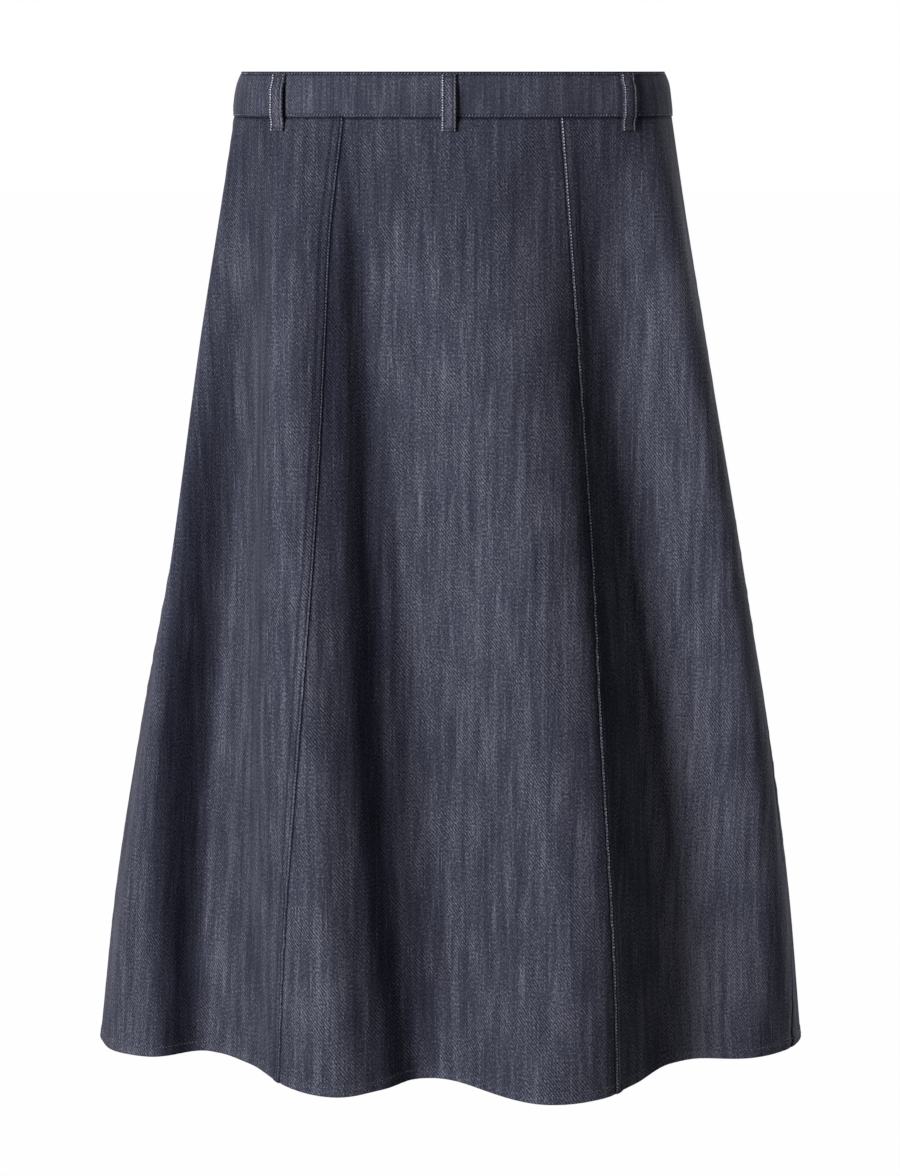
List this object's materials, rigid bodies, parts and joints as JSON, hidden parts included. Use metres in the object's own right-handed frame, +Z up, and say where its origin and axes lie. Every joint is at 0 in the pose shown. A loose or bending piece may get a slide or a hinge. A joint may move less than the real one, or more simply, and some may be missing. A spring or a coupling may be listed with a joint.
{
  "type": "denim skirt",
  "caption": "Flared gored denim midi skirt, filled out as worn and hollow, with a straight waistband, belt loops and a concealed side zip.",
  "frame": {"origin": "middle of the waist opening, half way up the waistband", "axes": "+Z up towards the waist; +Y the way the wearer faces, so the back of the skirt faces -Y; +X the wearer's right, where the zip is"},
  "size_m": [0.553, 0.3695, 0.754],
  "materials": {
    "denim": "washed navy stretch twill, matt",
    "zip_tape": "woven navy tape",
    "zip_metal": "navy lacquer, half gloss"
  },
  "bodies": {
    "skirt": {"back_centre_gore": "denim", "back_right_gore": "denim", "front_right_gore": "denim", "front_centre_gore": "denim", "front_left_gore": "denim", "back_left_gore": "denim", "waistband": "denim", "belt_loop_back_left": "denim", "belt_loop_back_centre": "denim", "belt_loop_back_right": "denim", "belt_loop_front_right": "denim", "belt_loop_front_left": "denim", "zip_tapes": "zip_tape", "zip_slider": "zip_metal"},
    "pull_tab": {"zip_pull_tab": "zip_metal"}
  },
  "joints": [
    {"name": "pull_tab_swing", "type": "hinge", "parent": "skirt", "child": "pull_tab", "pos_m": [0.16119, 0.01817, 0.0075], "axis": [0.4728, -0.8811, 0], "range_deg": [0, 150]}
  ]
}
